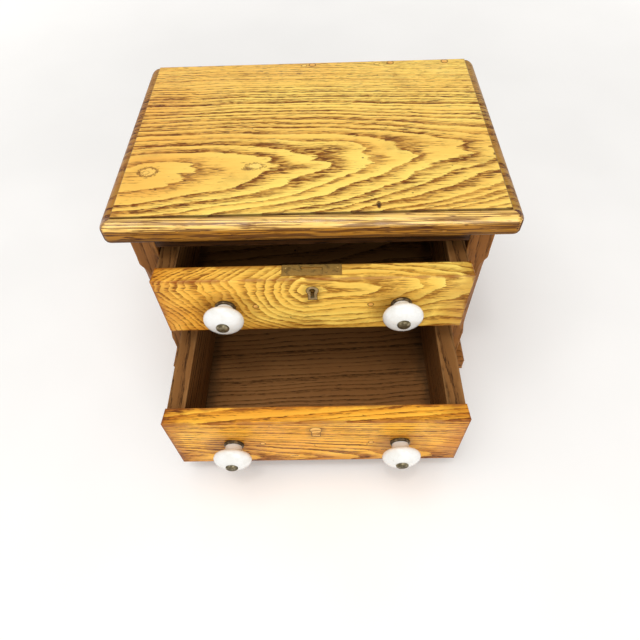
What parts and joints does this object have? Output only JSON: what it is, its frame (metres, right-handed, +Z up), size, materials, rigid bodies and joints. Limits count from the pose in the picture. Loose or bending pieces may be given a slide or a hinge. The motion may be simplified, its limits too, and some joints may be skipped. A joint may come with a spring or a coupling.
{
  "type": "spool cabinet",
  "caption": "Small wooden tabletop cabinet with a moulded top over sliding dovetailed drawers with round porcelain knobs and a drawer lock, for thread spools and sewing notions.",
  "frame": {"origin": "centre of the base board's underside", "axes": "+Z up, +X to the right as seen from the front, the drawers open towards -Y"},
  "size_m": [0.314, 0.3459, 0.218],
  "materials": {
    "top_wood": "satin varnish, bold open grain",
    "front_wood": "satin varnish, open grain",
    "carcass_wood": "worn varnish",
    "drawer_wood": "bare, aged",
    "inner_wood": "bare, aged",
    "plug_wood": "satin varnish",
    "porcelain": "glossy glaze",
    "bronze": "dark, worn",
    "lock_brass": "dull",
    "iron": "dark, aged"
  },
  "bodies": {
    "carcass": {"top_board": "top_wood", "top_plugs": "plug_wood", "base_board": "carcass_wood", "left_side": "carcass_wood", "right_side": "carcass_wood", "top_rail": "carcass_wood", "middle_rail": "carcass_wood", "back_panel": "inner_wood", "left_runner": "inner_wood", "right_runner": "inner_wood", "left_kicker": "inner_wood", "right_kicker": "inner_wood", "upper_stops": "inner_wood", "lower_stops": "inner_wood", "top_screws": "iron", "base_screws": "iron", "back_nails": "iron", "runner_nails": "iron"},
    "upper_drawer": {"upper_front": "front_wood", "upper_left_side": "drawer_wood", "upper_right_side": "drawer_wood", "upper_back": "drawer_wood", "upper_bottom": "drawer_wood", "upper_left_knob": "porcelain", "upper_right_knob": "porcelain", "upper_collars": "bronze", "upper_knob_bolts": "bronze", "upper_washers": "iron", "upper_nuts": "iron", "upper_nails": "iron", "upper_front_plugs": "plug_wood", "keyhole_insert": "lock_brass", "lock_plate": "lock_brass", "lock_case": "iron", "lock_post": "iron", "lock_screws": "iron"},
    "lower_drawer": {"lower_front": "front_wood", "lower_left_side": "drawer_wood", "lower_right_side": "drawer_wood", "lower_back": "drawer_wood", "lower_bottom": "drawer_wood", "lower_left_knob": "porcelain", "lower_right_knob": "porcelain", "lower_collars": "bronze", "lower_knob_bolts": "bronze", "lower_washers": "iron", "lower_nuts": "iron", "lower_nails": "iron", "lower_front_plugs": "plug_wood", "keyhole_plug": "plug_wood"},
    "lock_bolt": {"lock_bolt": "lock_brass"}
  },
  "joints": [
    {"name": "upper_drawer_slide", "type": "slide", "parent": "carcass", "child": "upper_drawer", "axis": [0, -1, 0], "range_m": [-0.036, 0.114]},
    {"name": "lower_drawer_slide", "type": "slide", "parent": "carcass", "child": "lower_drawer", "axis": [0, -1, 0], "range_m": [-0.114, 0.036]},
    {"name": "lock_bolt_throw", "type": "slide", "parent": "upper_drawer", "child": "lock_bolt", "axis": [0, 0, 1], "range_m": [0, 0.006]}
  ]
}
